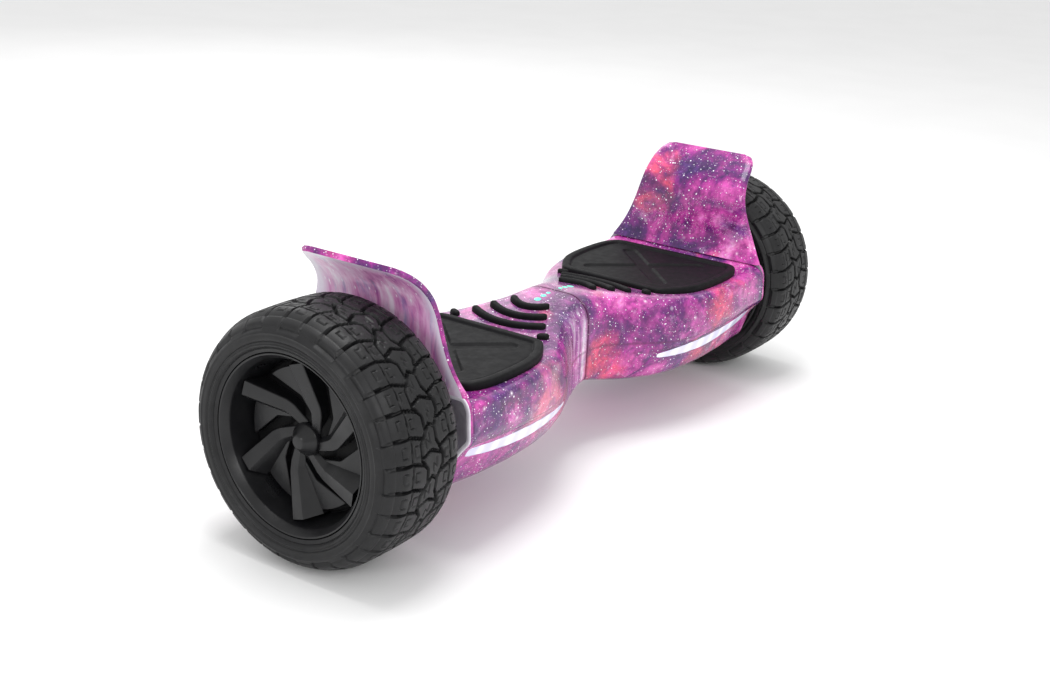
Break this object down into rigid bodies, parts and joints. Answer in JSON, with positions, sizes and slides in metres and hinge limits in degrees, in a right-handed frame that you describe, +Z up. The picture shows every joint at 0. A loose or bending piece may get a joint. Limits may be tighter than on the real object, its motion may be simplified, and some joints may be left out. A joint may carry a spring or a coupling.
{
  "type": "self balancing hoverboard",
  "caption": "Self balancing two-wheel board with off-road hub-motor wheels, twisting halves, fenders, sprung foot pads and light strips.",
  "frame": {"origin": "on the floor under the middle of the board, centred between the wheels", "axes": "+X along the wheel axle to the right wheel, -Y the headlight side, +Z up; the wheel axles and the twist pivot share the line y = 0, z = 0.1025"},
  "size_m": [0.704, 0.205, 0.2344],
  "materials": {
    "printed_cover": "gloss film-printed nebula pattern",
    "printed_cover_low": "gloss film-printed nebula pattern",
    "grip_rubber": "matte moulded",
    "tyre": "matte rubber",
    "black_alloy": "satin black",
    "black_plastic": "satin moulded",
    "indicator_glow": "lit mint light guide",
    "headlight_glow": "lit diffuser",
    "white_nylon": "moulded",
    "cast_aluminium": "die cast",
    "steel": "machined",
    "copper_windings": "enamelled windings",
    "circuit_board": "solder mask",
    "cable_sheath": "sheath",
    "battery_wrap": "heat-shrink wrap"
  },
  "bodies": {
    "left_half": {"left_upper_cover": "printed_cover", "left_lower_cover": "printed_cover_low", "left_fender": "printed_cover", "left_grip_bars": "grip_rubber", "left_indicator_light": "indicator_glow", "left_headlight_lens": "headlight_glow", "left_led_bar": "white_nylon", "left_frame": "cast_aluminium", "left_axle_clamp": "cast_aluminium", "left_clamp_bolt_front": "steel", "left_clamp_bolt_rear": "steel", "left_motor_axle": "steel", "left_motor_stator": "copper_windings", "left_wheel_bearing": "steel", "left_sensor_board": "circuit_board", "left_gyro_board": "circuit_board", "left_motor_cable": "cable_sheath", "main_board": "circuit_board", "button_ring": "black_plastic", "pivot_tube": "steel", "twist_stop_pin": "steel", "pivot_circlip": "steel", "link_cable": "cable_sheath"},
    "right_half": {"right_upper_cover": "printed_cover", "right_lower_cover": "printed_cover_low", "right_fender": "printed_cover", "right_grip_bars": "grip_rubber", "right_indicator_light": "indicator_glow", "right_headlight_lens": "headlight_glow", "right_led_bar": "white_nylon", "right_frame": "cast_aluminium", "right_axle_clamp": "cast_aluminium", "right_clamp_bolt_front": "steel", "right_clamp_bolt_rear": "steel", "right_motor_axle": "steel", "right_motor_stator": "copper_windings", "right_wheel_bearing": "steel", "right_sensor_board": "circuit_board", "right_gyro_board": "circuit_board", "right_motor_cable": "cable_sheath", "pivot_bush_inner": "white_nylon", "pivot_bush_outer": "white_nylon", "battery_pack": "battery_wrap", "charge_port": "black_plastic"},
    "left_wheel": {"left_wheel_rim": "black_alloy", "left_tyre": "tyre", "left_wheel_trim": "black_plastic", "left_hub_nose": "black_plastic"},
    "right_wheel": {"right_wheel_rim": "black_alloy", "right_tyre": "tyre", "right_wheel_trim": "black_plastic", "right_hub_nose": "black_plastic"},
    "left_pad": {"left_foot_pad": "grip_rubber"},
    "right_pad": {"right_foot_pad": "grip_rubber"},
    "button": {"power_button": "black_plastic"},
    "port_flap": {"charge_port_cap": "grip_rubber"}
  },
  "joints": [
    {"name": "board_twist", "type": "hinge", "parent": "left_half", "child": "right_half", "pos_m": [0, 0, 0.1025], "axis": [1, 0, 0], "range_deg": [-12, 12]},
    {"name": "left_wheel_spin", "type": "hinge", "parent": "left_half", "child": "left_wheel", "pos_m": [-0.31, 0, 0.1025], "axis": [1, 0, 0], "continuous": true},
    {"name": "right_wheel_spin", "type": "hinge", "parent": "right_half", "child": "right_wheel", "pos_m": [0.31, 0, 0.1025], "axis": [1, 0, 0], "continuous": true},
    {"name": "left_pad_press", "type": "slide", "parent": "left_half", "child": "left_pad", "axis": [0, 0, 1], "range_m": [-0.0015, 0], "stiffness_N_per_m": 6000, "springref_m": 0.0006},
    {"name": "right_pad_press", "type": "slide", "parent": "right_half", "child": "right_pad", "axis": [0, 0, 1], "range_m": [-0.0015, 0], "stiffness_N_per_m": 6000, "springref_m": 0.0006},
    {"name": "power_button_press", "type": "slide", "parent": "left_half", "child": "button", "axis": [0, -0.9461, 0.324], "range_m": [0, 0.0015], "stiffness_N_per_m": 400, "springref_m": -0.0005},
    {"name": "port_flap_swing", "type": "hinge", "parent": "right_half", "child": "port_flap", "pos_m": [0.112, 0.0805, 0.0803], "axis": [1, 0, 0], "range_deg": [0, 80]}
  ]
}
